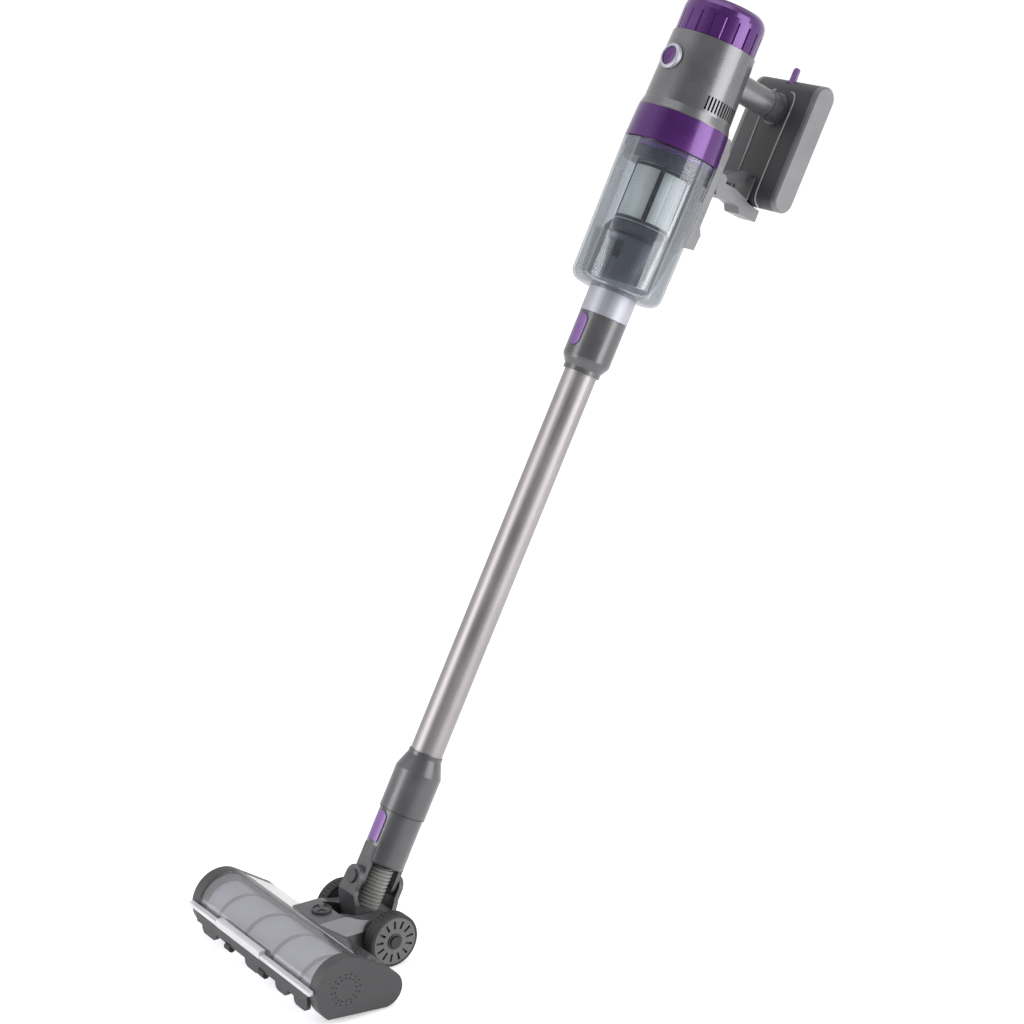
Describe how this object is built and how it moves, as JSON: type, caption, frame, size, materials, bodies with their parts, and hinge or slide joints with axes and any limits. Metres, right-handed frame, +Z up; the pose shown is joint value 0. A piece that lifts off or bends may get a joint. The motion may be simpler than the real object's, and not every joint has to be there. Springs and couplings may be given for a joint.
{
  "type": "cordless stick vacuum",
  "caption": "Cordless stick vacuum with clear dust bin, motor and filter unit, battery pack, slim metal tube and powered floor head on wheels, leaning as in use.",
  "frame": {"origin": "centre of the small glide pad under the floor head, on the floor", "axes": "+Z up, -Y towards the brush, +Y towards the user, +X to the machine's right"},
  "size_m": [0.252, 0.7019, 0.9688],
  "materials": {
    "grey_plastic": "satin metallic grey",
    "dark_plastic": "fine matt grain",
    "light_plastic": "satin",
    "purple_gloss": "gloss metallic",
    "silver": "satin plated",
    "clear_smoke": "clear smoked plastic",
    "aluminium_warm": "satin anodised",
    "mesh_steel": "fine etched mesh",
    "filter_foam": "pleated filter cloth",
    "rubber_black": "matt",
    "motor_steel": "machined",
    "board_green": "lacquered board",
    "cell_wrap": "shrink wrap",
    "plush": "short soft pile",
    "bristle": "stiff bristle",
    "steel": "turned"
  },
  "bodies": {
    "hand_unit": {"motor_housing": "grey_plastic", "motor": "motor_steel", "control_board": "board_green", "button_bezel": "silver", "button_spring": "steel", "collar_ring": "purple_gloss", "filter_seat": "grey_plastic", "mesh_filter": "mesh_steel", "filter_skirt": "grey_plastic", "pre_filter": "filter_foam", "rear_spine": "grey_plastic", "upper_arm": "grey_plastic", "lower_arm": "light_plastic", "housing_screws": "steel"},
    "fan": {"impeller": "aluminium_warm"},
    "power_key": {"power_button": "purple_gloss"},
    "cap": {"filter_cap": "purple_gloss", "exhaust_filter": "filter_foam"},
    "trigger_lever": {"trigger": "dark_plastic"},
    "bin_latch": {"release_slider": "light_plastic"},
    "battery_pack": {"pack_shell": "dark_plastic", "pack_panels": "light_plastic", "cells": "cell_wrap"},
    "pack_release": {"pack_tab": "purple_gloss"},
    "bin": {"dust_bin": "clear_smoke", "inlet_duct": "clear_smoke", "inlet_collar": "silver"},
    "bin_flap": {"inlet_flap": "rubber_black"},
    "tube": {"aluminium_tube": "aluminium_warm", "upper_connector": "grey_plastic", "lower_socket": "grey_plastic"},
    "tube_key": {"tube_button": "purple_gloss"},
    "neck_body": {"neck": "grey_plastic"},
    "neck_key": {"neck_button": "purple_gloss"},
    "yoke_body": {"yoke": "grey_plastic", "roll_pins": "dark_plastic", "flex_hose": "light_plastic"},
    "floor_head": {"head_base": "grey_plastic", "brush_cover": "clear_smoke", "rear_cover": "light_plastic", "front_lip": "light_plastic", "head_rear": "grey_plastic", "roll_bearings": "steel", "brush_motor": "motor_steel", "drive_belt": "rubber_black", "pitch_axle": "steel", "head_screws": "steel", "end_cap_right": "dark_plastic", "end_cap_left": "dark_plastic"},
    "brush_roll": {"brush_core": "dark_plastic", "brush_bands": "bristle", "plush_sleeve": "plush", "roll_pulley": "light_plastic"},
    "motor_gear": {"motor_pulley": "light_plastic"},
    "rollers": {"front_rollers": "rubber_black"},
    "dial_knob": {"dial": "dark_plastic"},
    "wheel_right": {"hub_right": "light_plastic", "tyre_right": "rubber_black"},
    "wheel_left": {"hub_left": "light_plastic", "tyre_left": "rubber_black"}
  },
  "joints": [
    {"name": "fan_spin", "type": "hinge", "parent": "hand_unit", "child": "fan", "pos_m": [0, 0.43989, 0.85202], "axis": [0, 0.4462, 0.8949], "continuous": true},
    {"name": "power_press", "type": "slide", "parent": "hand_unit", "child": "power_key", "axis": [0, 0.8949, -0.4462], "range_m": [0, 0.0015], "stiffness_N_per_m": 600, "springref_m": -0.0005},
    {"name": "cap_twist", "type": "hinge", "parent": "hand_unit", "child": "cap", "pos_m": [0, 0.47335, 0.91914], "axis": [0, 0.4462, 0.8949], "range_deg": [0, 30]},
    {"name": "trigger_pull", "type": "hinge", "parent": "hand_unit", "child": "trigger_lever", "pos_m": [0, 0.48138, 0.77724], "axis": [-1, 0, 0], "range_deg": [0, 4], "stiffness_Nm_per_rad": 1, "springref_deg": -1.15},
    {"name": "bin_latch_slide", "type": "slide", "parent": "hand_unit", "child": "bin_latch", "axis": [0, -0.4462, -0.8949], "range_m": [0, 0.005], "stiffness_N_per_m": 600, "springref_m": -0.0005},
    {"name": "pack_lift", "type": "slide", "parent": "hand_unit", "child": "battery_pack", "axis": [0, 0.4462, 0.8949], "range_m": [0, 0.15]},
    {"name": "pack_tab_press", "type": "hinge", "parent": "battery_pack", "child": "pack_release", "pos_m": [0, 0.58186, 0.86895], "axis": [-1, 0, 0], "range_deg": [0, 8], "stiffness_Nm_per_rad": 0.3, "springref_deg": -1.15},
    {"name": "bin_pull", "type": "slide", "parent": "hand_unit", "child": "bin", "axis": [0, -0.4462, -0.8949], "range_m": [0, 0.16]},
    {"name": "flap_swing", "type": "hinge", "parent": "bin", "child": "bin_flap", "pos_m": [0, 0.36854, 0.66858], "axis": [-1, 0, 0], "range_deg": [0, 55]},
    {"name": "tube_pull", "type": "slide", "parent": "bin", "child": "tube", "axis": [0, -0.4462, -0.8949], "range_m": [0, 0.06]},
    {"name": "tube_press", "type": "slide", "parent": "tube", "child": "tube_key", "axis": [0, 0.8949, -0.4462], "range_m": [0, 0.0015], "stiffness_N_per_m": 600, "springref_m": -0.0005},
    {"name": "neck_pull", "type": "slide", "parent": "tube", "child": "neck_body", "axis": [0, -0.4462, -0.8949], "range_m": [0, 0.05]},
    {"name": "neck_press", "type": "slide", "parent": "neck_body", "child": "neck_key", "axis": [0, 0.8949, -0.4462], "range_m": [0, 0.0015], "stiffness_N_per_m": 600, "springref_m": -0.0005},
    {"name": "head_roll", "type": "hinge", "parent": "neck_body", "child": "yoke_body", "pos_m": [0, 0.05125, 0.07253], "axis": [0, 0.8949, -0.4462], "range_deg": [-35, 35]},
    {"name": "head_pitch", "type": "hinge", "parent": "yoke_body", "child": "floor_head", "pos_m": [0, 0.041, 0.029], "axis": [1, 0, 0], "range_deg": [-26, 55]},
    {"name": "brush_spin", "type": "hinge", "parent": "floor_head", "child": "brush_roll", "pos_m": [0, -0.062, 0.031], "axis": [1, 0, 0], "continuous": true},
    {"name": "motor_gear_spin", "type": "hinge", "parent": "floor_head", "child": "motor_gear", "pos_m": [0, -0.013, 0.021], "axis": [1, 0, 0], "continuous": true},
    {"name": "roller_spin", "type": "hinge", "parent": "floor_head", "child": "rollers", "pos_m": [0, -0.0965, 0.0186], "axis": [1, 0, 0], "continuous": true},
    {"name": "dial_turn", "type": "hinge", "parent": "floor_head", "child": "dial_knob", "pos_m": [0, -0.0132, 0.057], "axis": [0, 0, 1], "range_deg": [0, 90]},
    {"name": "wheel_right_spin", "type": "hinge", "parent": "floor_head", "child": "wheel_right", "pos_m": [0.048, 0.041, 0.029], "axis": [1, 0, 0], "continuous": true},
    {"name": "wheel_left_spin", "type": "hinge", "parent": "floor_head", "child": "wheel_left", "pos_m": [-0.048, 0.041, 0.029], "axis": [1, 0, 0], "continuous": true}
  ],
  "couplings": [
    {"joint": "motor_gear_spin", "follows": "brush_spin", "ratio": 2}
  ]
}
